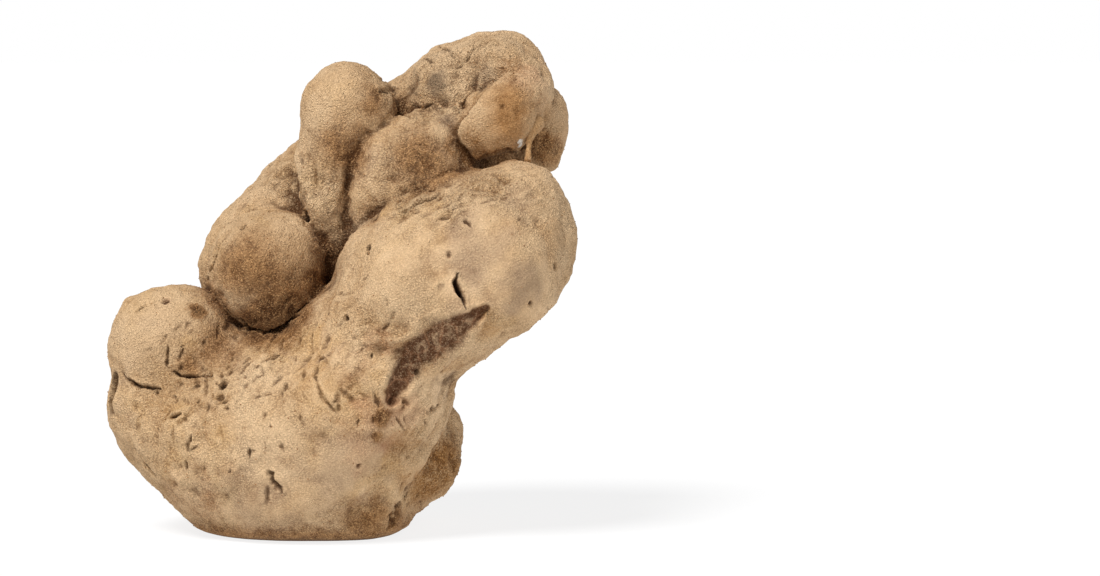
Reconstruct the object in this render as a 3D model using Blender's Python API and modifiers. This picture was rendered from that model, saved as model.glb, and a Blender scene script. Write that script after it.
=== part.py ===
"""White truffle (Tuber magnatum), one grown body.

The truffle is a bent arm that rises from the base to the upper right, a trunk behind it that climbs
the same way, and rounded lobes pressed against both. Each lobe is a ball or a swept limb. The lobes
are first fused by a voxel remesh. Every point of that rough skin is then moved onto the smooth blend
of the lobes, so that lobes of one fold flow together while two folds meet in a tight crease. Soft
facets flatten the arm where it is not round. Low lumps are added last, and the body is cut flat where
it rests.

Lengths below are in millimetres: x to the right, y to the back, z up. The mesh is in metres.
"""

from dataclasses import dataclass, field
from math import cos, pi, radians, sin

import bmesh
import bpy
import numpy as np
from mathutils import Matrix, Vector, noise

MM = 0.001

SKIN_VOXEL = 0.7        # edge of the voxels that fuse the lobes
SETTLE_STEPS = 10       # moves that bring the fused skin onto the blended lobes
STEPS_PER_STATION = 6   # balls laid between two stations of a limb
LUMP_HEIGHT = 0.8       # low lumps all over the skin
LUMP_WIDTH = 8.0
DIMPLE_HEIGHT = 0.25    # finer unevenness on top of them
DIMPLE_WIDTH = 3.0
TRIANGLES = 11000       # faces left for the finished body
HAIR = 0.08             # what lies this near the ground is made flat

SKIN_COLOUR = (0.53, 0.37, 0.22, 1.0)
SKIN_ROUGHNESS = 0.85


@dataclass
class Ball:
    """An egg-shaped lobe. It leans from z towards x, then turns about z, both in degrees."""
    centre: tuple
    half: tuple
    soft: float
    lean: float = 0.0
    turn: float = 0.0


@dataclass
class Limb:
    """A long lobe: a ball carried along a smooth line through stations of x, y, z and radius."""
    stations: list
    soft: float


@dataclass
class Facet:
    """A plane that cuts a fold softly: its outward direction, a point on it and its softness."""
    outward: tuple
    point: tuple
    soft: float


@dataclass
class Fold:
    """Lobes that flow together by their own softness, and meet the folds before in a crease."""
    crease: float
    lobes: list
    facets: list = field(default_factory=list)


ARM = Fold(1.0, [
    # the bent arm itself, from the left end, along the base and up to the right
    Limb([(-23.2, -2, 18.9, 11.0), (-15.2, -3, 14.3, 13.8), (-5.5, -5, 14.2, 15.2), (1.0, -6, 18.9, 14.0),
          (6.9, -8, 27.9, 11.3), (11.8, -9, 34.3, 12.1), (18.5, -9, 38.8, 12.3), (23.8, -8, 41.5, 10.2)],
         soft=4.0),
    # its broad underside
    Ball((-8.2, -4, 8.4), (15.6, 12, 10.2), soft=4.0),
    # the shoulder along its upper edge
    Limb([(7.5, -7, 40.6, 5.0), (13.5, -7.5, 43.6, 6.2), (20.0, -7.5, 46.4, 6.4), (25.4, -7, 47.9, 6.3)],
         soft=4.0),
    # the knob at its left end
    Ball((-25.0, -2.5, 27.1), (9.4, 9.3, 9.1), soft=1.5),
    # the foot low on the right
    Ball((8.7, 3, 9.9), (7.0, 10, 9.5), soft=2.0, lean=42),
    Ball((3.0, 0, 5.0), (7.0, 9, 6.0), soft=4.0),
    Ball((1.0, -6.5, 4.6), (8.5, 8.5, 6.0), soft=3.0),
    # the pad behind its upper end
    Ball((18.0, 0, 38.5), (9.0, 9, 8.5), soft=4.0, lean=30),
    # the slope of its upper edge round the middle knob
    Ball((-14.2, -4, 21.4), (7.5, 8.0, 8.0), soft=3.0),
    Ball((2.9, -5, 28.2), (9.0, 9.0, 9.0), soft=3.0),
    Ball((6.8, -5.5, 37.6), (7.4, 7.4, 7.4), soft=3.0),
], facets=[
    # the broad front of its upper half, the slope above that, and its blunt end
    Facet((0.10, -0.94, 0.28), (17.0, -19.6, 40.0), soft=4.0),
    Facet((-0.15, -0.55, 0.80), (16.0, -14.0, 49.0), soft=4.0),
    Facet((0.86, -0.48, 0.10), (30.0, -14.5, 42.0), soft=4.0),
])

TRUNK = Fold(1.0, [
    Limb([(-4.0, 7, 14.0, 12.0), (-7.5, 10, 26.0, 12.0), (-7.0, 11, 38.5, 11.8), (0.2, 11, 48.0, 10.8),
          (6.8, 11, 55.3, 8.5)],
         soft=4.0),
    # the left side that wraps round the middle knob
    Ball((-13.8, 5, 39.3), (7.0, 7.0, 9.5), soft=4.0, lean=30),
    # the head
    Limb([(12.6, 9, 60.0, 7.0), (17.4, 8.5, 63.0, 7.7), (21.2, 7.5, 65.0, 7.8)], soft=3.0),
    Ball((15.4, 4.5, 62.6), (6.0, 6.0, 6.0), soft=1.5),
    Ball((22.0, 3.6, 65.6), (5.2, 6.0, 5.6), soft=1.5),
    # the corner of the head that the flap grows out of
    Ball((26.0, 3.0, 63.2), (4.2, 5.0, 4.6), soft=3.0),
    # the mass between the trunk and the arm
    Ball((6.0, 3, 32.0), (9, 8, 15), soft=4.0, lean=10),
    Ball((14.5, 7, 47.5), (10, 7, 9), soft=3.0, lean=30),
    Limb([(14.0, 8, 51.5, 6.0), (21.0, 9, 53.5, 5.5), (27.5, 9, 54.5, 4.0)], soft=3.0),
    # the floor of the hollow between the middle knob, the finger and the arm
    Ball((-0.5, 1.5, 42.5), (4.5, 4.5, 6.0), soft=2.0, lean=15),
])

MIDDLE_KNOB = Fold(0.6, [Ball((-10.9, -1.6, 38.0), (8.4, 8.8, 9.0), soft=1.0)])

BROAD_LOBE = Fold(0.9, [
    # it hangs from the head, with its lower edge behind the arm
    Ball((9.6, -0.6, 54.0), (8.4, 6.6, 6.0), soft=1.0, lean=-22),
    Ball((15.2, 2.0, 57.2), (6.0, 5.6, 5.0), soft=3.0, lean=-30),
    Ball((10.6, -1.0, 49.8), (8.4, 6.5, 6.0), soft=3.0, lean=-20),
    # the leg that runs down its left side to the hollow
    Limb([(5.0, -1.8, 54.4, 3.0), (3.7, -2.6, 51.5, 2.5), (3.1, -2.6, 47.5, 2.1), (2.5, -2.2, 43.5, 1.9)],
         soft=2.0),
])

FINGER = Fold(0.9, [
    Ball((0.3, 2.2, 61.4), (6.9, 6.6, 6.5), soft=1.0),
    Limb([(-0.4, 1.8, 58.5, 6.0), (-2.3, 1.2, 53.5, 4.9), (-2.7, 0.6, 49.3, 4.0), (-2.6, 0.2, 45.6, 3.2)],
         soft=2.5),
])

FLAP = Fold(0.6, [
    Limb([(19.2, -1.6, 57.9, 3.9), (23.0, -1.8, 59.9, 5.0), (25.3, 0.2, 62.6, 4.5)], soft=1.0),
])

EAR = Fold(0.8, [Ball((27.4, 9.5, 58.4), (5.3, 6.0, 6.6), soft=1.0, lean=-8)])

BACK = Fold(2.0, [
    # two broad cheeks low on the back, which reach the ground, and the furrow between them
    Ball((-13.5, 11, 13.8), (12.5, 11, 13.8), soft=2.0, lean=-12, turn=10),
    Ball((5.0, 11.5, 12.2), (10, 10, 13), soft=2.5, lean=10),
    # the mass that climbs the trunk
    Limb([(-8.0, 12.5, 29.0, 9.5), (-4.5, 14, 40.0, 9.6), (2.8, 14, 49.6, 9.2), (9.4, 13, 56.6, 7.4)],
         soft=2.5),
    # swellings on either side of it
    Ball((13.5, 13, 49.0), (10, 8, 9.5), soft=2.0, lean=20, turn=-15),
    Ball((9.0, 13.5, 34.0), (7.5, 7.5, 10.5), soft=2.2, lean=25),
    Ball((-15.2, 11.5, 32.0), (7, 8.5, 9), soft=2.5, lean=15),
    Ball((-3.0, 19.5, 45.0), (6.5, 5, 8.0), soft=2.5, lean=35),
])

FOLDS = [ARM, TRUNK, MIDDLE_KNOB, BROAD_LOBE, FINGER, FLAP, EAR, BACK]

BASE_ROUND = 1.2        # rounding where the flat spot meets the sides

SWAY = 1.5              # how far the lobes are pushed out of true at the back; less at the front
SWAY_FRONT = 0.15       # that share of it is left at the front
SWAY_DEPTH = (4, 18)    # y where the sway begins to grow, and where it is full
SWAY_LENGTH = 20.0
SWAY_WAVES = 6
SWAY_SEED = 7


# ---------------------------------------------------------------- lobes as solids

def along(stations):
    """Points of a Catmull-Rom curve through the stations, each an x, y, z and radius."""
    line = np.array(stations, float)
    line = np.vstack([2 * line[0] - line[1], line, 2 * line[-1] - line[-2]])
    points = []
    for a, b, c, d in zip(line, line[1:], line[2:], line[3:]):
        for t in np.arange(STEPS_PER_STATION) / STEPS_PER_STATION:
            bend = (2 * a - 5 * b + 4 * c - d) * t**2 + (3 * b - a - 3 * c + d) * t**3
            points.append(0.5 * (2 * b + (c - a) * t + bend))
    points.append(line[-2])
    return np.array(points)


def ball_axes(ball):
    """The matrix whose columns are the ball's own axes."""
    lean, turn = radians(ball.lean), radians(ball.turn)
    tip = np.array([[cos(lean), 0, sin(lean)], [0, 1, 0], [-sin(lean), 0, cos(lean)]])
    spin = np.array([[cos(turn), -sin(turn), 0], [sin(turn), cos(turn), 0], [0, 0, 1]])
    return spin @ tip


def add_ball(bm, centre, half, axes=None):
    place = Matrix.Translation(Vector(centre) * MM)
    if axes is not None:
        place @= Matrix(axes.tolist()).to_4x4()
    place @= Matrix.Diagonal((*(Vector(half) * MM), 1.0))
    bmesh.ops.create_icosphere(bm, subdivisions=3, radius=1.0, matrix=place)


def fused_lobes():
    """The skin of all lobes together, as one closed mesh of small even faces."""
    bm = bmesh.new()
    for fold in FOLDS:
        for lobe in fold.lobes:
            if isinstance(lobe, Ball):
                add_ball(bm, lobe.centre, lobe.half, ball_axes(lobe))
            else:
                for x, y, z, radius in along(lobe.stations):
                    add_ball(bm, (x, y, z), (radius, radius, radius))
    mesh = bpy.data.meshes.new("lobes")
    bm.to_mesh(mesh)
    bm.free()

    rough = bpy.data.objects.new("lobes", mesh)
    bpy.context.scene.collection.objects.link(rough)
    fuse = rough.modifiers.new("fuse", "REMESH")
    fuse.mode = "VOXEL"
    fuse.voxel_size = SKIN_VOXEL * MM
    fused = bpy.data.meshes.new_from_object(rough.evaluated_get(bpy.context.evaluated_depsgraph_get()))
    bpy.data.objects.remove(rough)
    return fused


# ---------------------------------------------------------------- the smooth blend

def soft_min(a, b, soft):
    """The lower of two distances, rounded where they are within soft of each other."""
    near = np.maximum(soft - np.abs(a - b), 0) / soft
    return np.minimum(a, b) - near * near * soft / 4


def ball_distance(points, ball):
    local = (points - np.array(ball.centre)) @ ball_axes(ball)
    half = np.array(ball.half)
    unit = np.linalg.norm(local / half, axis=1)
    slope = np.linalg.norm(local / half**2, axis=1) + 1e-9
    return unit * (unit - 1) / slope


def limb_distance(points, limb):
    nearest = np.full(len(points), np.inf)
    line = along(limb.stations)
    for start, end in zip(line, line[1:]):
        run = (end - start)[:3]
        t = np.clip((points - start[:3]) @ run / (run @ run), 0, 1)
        gap = np.linalg.norm(points - start[:3] - t[:, None] * run, axis=1)
        nearest = np.minimum(nearest, gap - start[3] - t * (end[3] - start[3]))
    return nearest


def facet_distance(points, facet):
    outward = np.array(facet.outward) / np.linalg.norm(facet.outward)
    return (points - np.array(facet.point)) @ outward


def swayed(points):
    """The points, each pushed a little by long waves, so that no lobe is a true ball."""
    draw = np.random.default_rng(SWAY_SEED)
    runs = draw.normal(size=(SWAY_WAVES, 3)) * 2 * pi / SWAY_LENGTH / np.sqrt(3)
    starts = draw.uniform(0, 2 * pi, SWAY_WAVES)
    pushes = draw.normal(size=(SWAY_WAVES, 3)) / np.sqrt(SWAY_WAVES)
    front, back = SWAY_DEPTH
    share = np.clip((points[:, 1:2] - front) / (back - front), 0, 1)
    share = SWAY_FRONT + (1 - SWAY_FRONT) * share
    return points + SWAY * share * (np.sin(points @ runs.T + starts) @ pushes)


def distance(points):
    """How far points lie outside the blended body, negative inside it."""
    place = swayed(points)
    body = None
    for fold in FOLDS:
        skin = None
        for lobe in fold.lobes:
            measure = ball_distance if isinstance(lobe, Ball) else limb_distance
            own = measure(place, lobe)
            skin = own if skin is None else soft_min(skin, own, lobe.soft)
        for facet in fold.facets:
            skin = -soft_min(-skin, -facet_distance(place, facet), facet.soft)
        body = skin if body is None else soft_min(body, skin, fold.crease)
    return -soft_min(-body, points[:, 2], BASE_ROUND)


def slope(points, step=0.1):
    """The outward direction of the blend at the points."""
    here = distance(points)
    rise = np.empty_like(points)
    for axis in range(3):
        moved = points.copy()
        moved[:, axis] += step
        rise[:, axis] = distance(moved) - here
    return here, rise / (np.linalg.norm(rise, axis=1, keepdims=True) + 1e-9)


def settle(points):
    """Move the points straight onto the blended body, in steps shorter than a voxel."""
    for _ in range(SETTLE_STEPS):
        away, out = slope(points)
        points = points - out * np.clip(away, -SKIN_VOXEL, SKIN_VOXEL)[:, None]
    return points


def lumps(points):
    """The height of the low lumps and finer dimples, none on the flat spot."""
    heights = np.empty(len(points))
    for i, point in enumerate(points):
        broad = noise.noise(Vector(point) / LUMP_WIDTH)
        fine = noise.noise(Vector(point) / DIMPLE_WIDTH)
        heights[i] = LUMP_HEIGHT * broad + DIMPLE_HEIGHT * fine
    return heights * np.clip(points[:, 2] / BASE_ROUND - 0.5, 0, 1)


# ---------------------------------------------------------------- the finished truffle

def mesh_points(mesh):
    points = np.empty(len(mesh.vertices) * 3, np.float32)
    mesh.vertices.foreach_get("co", points)
    return points.reshape(-1, 3).astype(float) / MM


def set_mesh_points(mesh, points):
    mesh.vertices.foreach_set("co", (points * MM).ravel())
    mesh.update()


def thinned(mesh, triangles):
    """The mesh with only as many triangles as its shape needs."""
    holder = bpy.data.objects.new("skin", mesh)
    bpy.context.scene.collection.objects.link(holder)
    thin = holder.modifiers.new("thin", "DECIMATE")
    thin.ratio = triangles / (2 * len(mesh.polygons))
    result = bpy.data.meshes.new_from_object(holder.evaluated_get(bpy.context.evaluated_depsgraph_get()))
    bpy.data.objects.remove(holder)
    return result


def stand_on_flat_spot(mesh):
    """Flatten what lies within a hair of the ground, and centre the body over the origin."""
    points = mesh_points(mesh)
    points[points[:, 2] < HAIR, 2] = 0.0
    middle = (points.min(axis=0) + points.max(axis=0)) / 2
    points[:, :2] -= middle[:2]
    set_mesh_points(mesh, points)


def truffle_material():
    material = bpy.data.materials.new("truffle_skin")
    material.use_nodes = True
    shader = material.node_tree.nodes["Principled BSDF"]
    shader.inputs["Base Color"].default_value = SKIN_COLOUR
    shader.inputs["Roughness"].default_value = SKIN_ROUGHNESS
    shader.inputs["Metallic"].default_value = 0.0
    return material


def build_truffle():
    mesh = fused_lobes()
    points = settle(mesh_points(mesh))
    _, out = slope(points)
    set_mesh_points(mesh, points + out * lumps(points)[:, None])
    mesh = thinned(mesh, TRIANGLES)
    stand_on_flat_spot(mesh)
    mesh.name = "truffle"
    mesh.shade_smooth()
    mesh.materials.append(truffle_material())
    truffle = bpy.data.objects.new("truffle", mesh)
    collection = bpy.data.collections.new("white_truffle")
    bpy.context.scene.collection.children.link(collection)
    collection.objects.link(truffle)


def main():
    for old in list(bpy.data.objects):
        bpy.data.objects.remove(old)
    build_truffle()


main()
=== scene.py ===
"""White truffle: its finished skin, a thin strand, the soil grains, and the plain studio around it.

The frame holds one solid, the truffle. The skin starts as a smooth, finely remeshed copy of it and
is then carved: swells, dents and velvety grain all over, rugged skin where the lobes meet, and pits,
slits and cracks. The marks on the front stand where the camera sees them on the real truffle, and
seeded ones cover the rest. What each point is like is kept in vertex attributes, which the skin's
material reads. The strand that hangs from the flap and the loose soil grains are pieces of their own.

The skin is carved in millimetres. Everything in the scene itself is in metres.
"""

from math import cos, pi, radians, sin

import bmesh
import bpy
import numpy as np
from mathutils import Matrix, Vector, noise
from mathutils.bvhtree import BVHTree
from mathutils.kdtree import KDTree


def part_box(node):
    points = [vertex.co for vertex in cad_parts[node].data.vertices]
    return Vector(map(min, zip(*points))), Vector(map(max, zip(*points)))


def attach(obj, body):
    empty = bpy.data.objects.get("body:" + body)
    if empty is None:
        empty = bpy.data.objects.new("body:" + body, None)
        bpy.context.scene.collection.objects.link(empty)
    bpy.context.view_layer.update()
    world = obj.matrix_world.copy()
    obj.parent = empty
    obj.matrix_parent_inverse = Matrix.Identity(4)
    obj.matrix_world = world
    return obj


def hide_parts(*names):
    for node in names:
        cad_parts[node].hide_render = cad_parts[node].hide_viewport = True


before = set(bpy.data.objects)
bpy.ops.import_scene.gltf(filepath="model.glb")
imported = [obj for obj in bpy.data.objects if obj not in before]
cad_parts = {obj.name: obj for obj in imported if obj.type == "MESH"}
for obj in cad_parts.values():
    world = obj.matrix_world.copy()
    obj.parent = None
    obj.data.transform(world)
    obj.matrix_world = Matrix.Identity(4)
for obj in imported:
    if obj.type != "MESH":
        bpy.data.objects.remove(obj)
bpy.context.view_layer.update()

MM = 0.001
NODE = "truffle"
BODY = "root"
LOW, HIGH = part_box(NODE)
SIZE = HIGH - LOW

# -------------------- where it is seen from

VIEW_DISTANCE = 0.480
VIEW_TILT = radians(4)  # the camera looks down by this
SEEN_WIDTH = 1.009 * SIZE.x  # near parts look larger, so the seen outline is a little over the box
SEEN_HEIGHT = 1.004 * SIZE.z
AIM_ACROSS = 0.936  # the middle of the picture, as shares of the seen outline
AIM_UP = 0.482
PICTURE_WIDTH = 2.337  # in widths of the seen outline
SENSOR_MM = 36.0
NEAR_LIMIT = 0.01  # nothing nearer than this is drawn

RIGHT = Vector((1, 0, 0))
TOWARDS = Vector((0, -cos(VIEW_TILT), sin(VIEW_TILT)))
UPWARDS = Vector((0, sin(VIEW_TILT), cos(VIEW_TILT)))
AIM = Vector((LOW.x + AIM_ACROSS * SEEN_WIDTH, 0, LOW.z + AIM_UP * SEEN_HEIGHT))
EYE = AIM + TOWARDS * VIEW_DISTANCE


def seen_at(tree, across, up):
    """The skin's point, in mm, that the camera sees at these shares of the seen outline."""
    spot = AIM + RIGHT * (across - AIM_ACROSS) * SEEN_WIDTH + UPWARDS * (up - AIM_UP) * SEEN_HEIGHT
    hit = tree.ray_cast(EYE, (spot - EYE).normalized())[0]
    if hit is None:
        hit = tree.find_nearest(spot)[0]
    return np.array(hit) / MM


# -------------------- the dense, smooth start

MERGE_DISTANCE = 0.001  # mm
ROUNDING_LEVELS = 2
DENSE_VOXEL = 0.26  # mm
SMOOTH_ROUNDS = 4
SKIN_TRIANGLES = 186000


def merged_copy(node):
    """The node's mesh with its split vertices joined again."""
    bm = bmesh.new()
    bm.from_mesh(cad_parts[node].data)
    bmesh.ops.remove_doubles(bm, verts=bm.verts, dist=MERGE_DISTANCE * MM)
    mesh = bpy.data.meshes.new("truffle_skin")
    bm.to_mesh(mesh)
    bm.free()
    mesh.materials.clear()
    return mesh


def tree_of(mesh):
    corners = [v.co.copy() for v in mesh.vertices]
    return BVHTree.FromPolygons(corners, [tuple(p.vertices) for p in mesh.polygons])


def evaluated_mesh(holder):
    """The holder's mesh with its modifiers applied; the holder itself is removed."""
    bpy.context.view_layer.update()
    mesh = bpy.data.meshes.new_from_object(holder.evaluated_get(bpy.context.evaluated_depsgraph_get()))
    bpy.data.objects.remove(holder)
    return mesh


def linked(name, data):
    """A new object in the scene."""
    made = bpy.data.objects.new(name, data)
    bpy.context.scene.collection.objects.link(made)
    return made


def round_off(holder):
    rounding = holder.modifiers.new("round off", "SUBSURF")
    rounding.levels = ROUNDING_LEVELS
    rounding.render_levels = ROUNDING_LEVELS


def dense_start():
    holder = linked("holder", merged_copy(NODE))
    round_off(holder)
    fuse = holder.modifiers.new("fuse", "REMESH")
    fuse.mode = "VOXEL"
    fuse.voxel_size = DENSE_VOXEL * MM
    even = holder.modifiers.new("even", "SMOOTH")
    even.iterations = SMOOTH_ROUNDS
    return evaluated_mesh(holder)


# -------------------- the skin as arrays

# The soil mark is partly soil and partly painted shade; the hole mark is painted shade, with a few real
# dark spots.
MARKS = ("shade_and_dark_spots", "scar", "ochre", "lilac", "worn", "soil_and_shade", "reddish", "rugged", "pale")
GROUND_BAND = (0.3, 1.6)  # heights, mm, over which the relief sets in above the flat spot


class Skin:
    """Points and normals in mm, how far each point sinks, and what it is like."""

    def __init__(self, mesh):
        self.mesh = mesh
        self.tree = tree_of(mesh)
        self.points = vertex_values(mesh, "co") / MM
        self.normals = vertex_values(mesh, "normal")
        self.sink = np.zeros(len(self.points))
        self.marks = {name: np.zeros(len(self.points)) for name in MARKS}
        self.ground = smooth_step(self.points[:, 2], *GROUND_BAND)

    def mark(self, name, where, amount):
        values = self.marks[name]
        values[where] = np.maximum(values[where], amount)

    def finish(self):
        """Move the points and store the marks on the mesh."""
        moved = self.points - self.normals * (self.sink * self.ground)[:, None]
        self.mesh.vertices.foreach_set("co", (moved * MM).ravel())
        for name, values in self.marks.items():
            store(self.mesh, name, values)
        self.mesh.update()


def vertex_values(mesh, what):
    values = np.empty(len(mesh.vertices) * 3, np.float32)
    mesh.vertices.foreach_get(what, values)
    return values.reshape(-1, 3).astype(float)


def store(mesh, name, values):
    attribute = mesh.attributes.get(name) or mesh.attributes.new(name, "FLOAT", "POINT")
    attribute.data.foreach_set("value", np.asarray(values, np.float32))


def smooth_step(values, start, end):
    share = np.clip((values - start) / (end - start), 0, 1)
    return share * share * (3 - 2 * share)


def waves(points, width, shift=0.0):
    """Soft random values from about -1 to 1, with humps about this wide.

    The shift picks a part of the noise, so that waves of different shifts have nothing in common.
    """
    places = (points / width + shift).tolist()
    return np.array([noise.noise(place) for place in places])


def creases(points, width, shift, sharpness=2.4):
    """1 along the sharp lines where waves of this width cross zero, and less beside them."""
    return 1 - sharpness * np.abs(waves(points, width, shift))


def bell(values, middle, width):
    return np.exp(-((values - middle) / width) ** 2)


def drawn_out(points, direction, stretch):
    """The points, squeezed along a direction, so that waves over them are drawn out along it."""
    run = np.array(direction) / np.linalg.norm(direction)
    return points - np.outer(points @ run, run) * (1 - 1 / stretch)


SPOT_WAVE = 0.55  # width of the waves along a spot's edge, in radii
SPOT_END = 1.15  # where a spot ends, in radii


def near_spot(points, middle, radius, ragged=0.0, core=0.35):
    """1 within the core of the radius, falling to 0 a little beyond it, over a ragged edge."""
    gap = np.linalg.norm(points - middle, axis=1)
    if ragged:
        gap = gap + waves(points, radius * SPOT_WAVE, shift=radius) * radius * ragged
    return 1 - smooth_step(gap, radius * core, radius * SPOT_END)


def within(skin, middle, reach):
    """Which of the skin's points lie within reach of a place."""
    return np.nonzero(np.linalg.norm(skin.points - middle, axis=1) < reach)[0]


# -------------------- soil and painted shade: how deep a point lies

SKY_DIRECTIONS = 90
SKY_REACH = 22.0  # mm
SKY_GRAZE = 0.08  # directions closer to the surface than this cosine are left out
RAY_LIFT = 0.2  # mm, so that a ray starts clear of its own surface
NEIGHBOURS = 5
NEIGHBOUR_SOFTNESS = 0.3  # mm


def sphere_directions(count):
    """Directions spread evenly over a sphere."""
    steps = np.arange(count) + 0.5
    heights = 1 - 2 * steps / count
    angles = pi * (1 + 5**0.5) * steps
    rings = np.sqrt(1 - heights**2)
    return np.stack([rings * np.cos(angles), rings * np.sin(angles), heights], axis=1)


def shelter(mesh):
    """How much of the space in front of each vertex is blocked by the truffle itself, 0 to 1."""
    tree = tree_of(mesh)
    places = vertex_values(mesh, "co")
    normals = vertex_values(mesh, "normal")
    directions = sphere_directions(SKY_DIRECTIONS)
    reach = SKY_REACH * MM
    rays = [Vector(d) for d in directions]
    blocked = np.zeros(len(places))
    for i, (place, normal) in enumerate(zip(places, normals)):
        facing = directions @ normal
        start = Vector(place + normal * RAY_LIFT * MM)
        total = 0.0
        for j in np.nonzero(facing > SKY_GRAZE)[0]:
            gap = tree.ray_cast(start, rays[j], reach)[3]
            if gap is not None:
                total += facing[j] * (1 - gap / reach)
        blocked[i] = total / facing[facing > SKY_GRAZE].sum()
    return blocked


def spread_from(mesh, values, points):
    """Values of a coarse mesh's vertices, carried over to these points in mm."""
    tree = KDTree(len(mesh.vertices))
    for i, vertex in enumerate(mesh.vertices):
        tree.insert(vertex.co, i)
    tree.balance()
    carried = np.empty(len(points))
    for i, point in enumerate(points * MM):
        near = tree.find_n(point, NEIGHBOURS)
        weights = [1 / (gap + NEIGHBOUR_SOFTNESS * MM) for _, _, gap in near]
        carried[i] = sum(values[k] * w for (_, k, _), w in zip(near, weights)) / sum(weights)
    return carried


# -------------------- marks on the skin

# Each path holds the (across, up) places where the camera sees it. Then its half width and depth, mm.
CRACKS = [
    ([(0.239, 0.458), (0.263, 0.431), (0.299, 0.4), (0.341, 0.401), (0.384, 0.418), (0.412, 0.428),
      (0.44, 0.458)], 0.55, 0.9),
    ([(0.026, 0.312), (0.036, 0.299), (0.054, 0.289), (0.077, 0.284), (0.111, 0.284)], 0.42, 0.9),
    ([(0.121, 0.326), (0.134, 0.316), (0.154, 0.308), (0.18, 0.307), (0.199, 0.308), (0.221, 0.307)],
     0.36, 0.8),
    ([(0.125, 0.366), (0.123, 0.345), (0.121, 0.326)], 0.33, 0.68),
    ([(0.056, 0.433), (0.085, 0.452)], 0.29, 0.41),
    ([(0.121, 0.22), (0.154, 0.232)], 0.42, 0.81),
    ([(0.176, 0.19), (0.167, 0.155)], 0.39, 0.68),
    ([(0.325, 0.331), (0.345, 0.342), (0.365, 0.351)], 0.44, 0.81),
    ([(0.382, 0.297), (0.371, 0.274)], 0.34, 0.54),
    ([(0.414, 0.32), (0.412, 0.299)], 0.31, 0.47),
    ([(0.438, 0.335), (0.471, 0.351)], 0.34, 0.41),
    ([(0.3, 0.167), (0.298, 0.144)], 0.36, 0.68),
    ([(0.333, 0.13), (0.341, 0.113), (0.351, 0.091), (0.371, 0.069)], 0.55, 0.72),
    ([(0.437, 0.305), (0.443, 0.288), (0.455, 0.263), (0.483, 0.232)], 0.42, 0.7),
    ([(0.073, 0.132), (0.101, 0.102)], 0.45, 0.4),
    ([(0.489, 0.281), (0.52, 0.254)], 0.5, 0.5),
    ([(0.592, 0.628), (0.61, 0.625), (0.645, 0.642), (0.666, 0.655), (0.7, 0.668)], 0.46, 0.8),
    ([(0.752, 0.616), (0.767, 0.604)], 0.4, 0.8),
    ([(0.551, 0.57), (0.548, 0.553)], 0.47, 1.22),
    ([(0.28, 0.597), (0.29, 0.605)], 0.44, 1.22),
    ([(0.25, 0.584), (0.232, 0.562), (0.22, 0.526), (0.209, 0.498), (0.215, 0.476)], 0.39, 0.94),
    ([(0.628, 0.066), (0.614, 0.04), (0.606, 0.02), (0.59, -0.004)], 1.15, 0.85),
    ([(0.656, 0.316), (0.654, 0.3)], 0.39, 0.68),
    ([(0.702, 0.25), (0.68, 0.238)], 0.4, 0.5),
    ([(0.783, 0.961), (0.749, 0.925), (0.725, 0.918)], 0.36, 0.34),
    ([(0.838, 0.848), (0.83, 0.84)], 0.32, 0.3),
    ([(0.64, 0.846), (0.665, 0.842), (0.695, 0.85)], 0.45, 0.54),
    ([(0.566, 0.908), (0.58, 0.896), (0.594, 0.884), (0.606, 0.868)], 0.55, 0.9),
    ([(0.572, 0.88), (0.59, 0.872)], 0.45, 0.6),
    ([(0.59, 0.915), (0.606, 0.9)], 0.4, 0.5),
    ([(0.65, 0.925), (0.668, 0.936), (0.69, 0.93)], 0.45, 0.47),
    ([(0.7, 0.965), (0.722, 0.955), (0.732, 0.935)], 0.45, 0.47),
    ([(0.61, 0.835), (0.64, 0.82), (0.668, 0.824)], 0.4, 0.4),
]

# Pits: the place (across, up) of the middle, half width and depth, mm.
PITS = [
    (0.121, 0.459, 0.65, 0.6), (0.243, 0.289, 0.8, 1), (0.24, 0.281, 0.55, 0.9),
    (0.231, 0.263, 0.75, 0.5), (0.249, 0.241, 0.42, 0.6), (0.504, 0.421, 0.55, 0.9),
    (0.682, 0.243, 0.55, 0.7), (0.707, 0.314, 0.45, 0.4), (0.942, 0.528, 0.55, 0.8),
    (0.897, 0.451, 0.4, 0.7), (0.416, 0.623, 0.9, 1.5), (0.53, 0.125, 0.45, 0.5),
    (0.723, 0.548, 0.45, 0.5),
]

# The deep clean slit in the arm, which widens slowly from its ends.
SLIT_PATH = [(0.74, 0.512), (0.734, 0.494), (0.742, 0.477), (0.752, 0.462), (0.757, 0.44)]
SLIT_WIDTH = 0.56
SLIT_DEPTH = 2.4
SLIT_TAPER = 0.9
SLIT_RAGGED = 0.25

# Along the scar: (across, up) and half width, mm. It is a shallow groove of bare, veined flesh.
SCAR = [((0.8, 0.44), 0.7), ((0.768, 0.415), 1.9), ((0.734, 0.392), 2.8), ((0.69, 0.368), 3),
        ((0.65, 0.342), 2.7), ((0.622, 0.306), 2), ((0.6, 0.262), 1.1)]
SCAR_REACH = 4.5  # mm to either side of its path
SCAR_DEPTH = 0.7
SCAR_VEINS = 0.25  # how far its veins stand proud, mm
SCAR_LIP = 0.22  # how far its edge is raised, mm
SCAR_WOBBLES = [(3, 0.9, 5), (1, 0.35, 7)]  # width, size and shift of its edge's waves

# The wound on the far left: an oval opening with a yellowish floor.
WOUND = (0.004, 0.272)
WOUND_HALF = (1.2, 3)  # across and up, mm
WOUND_REACH = 6.0  # mm
WOUND_DEPTH = 1.3
WOUND_LIP = 0.25  # how far its edge is raised, mm
WOUND_SHADE = 0.8  # how dark the painted shade on the rim inside it is
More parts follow.
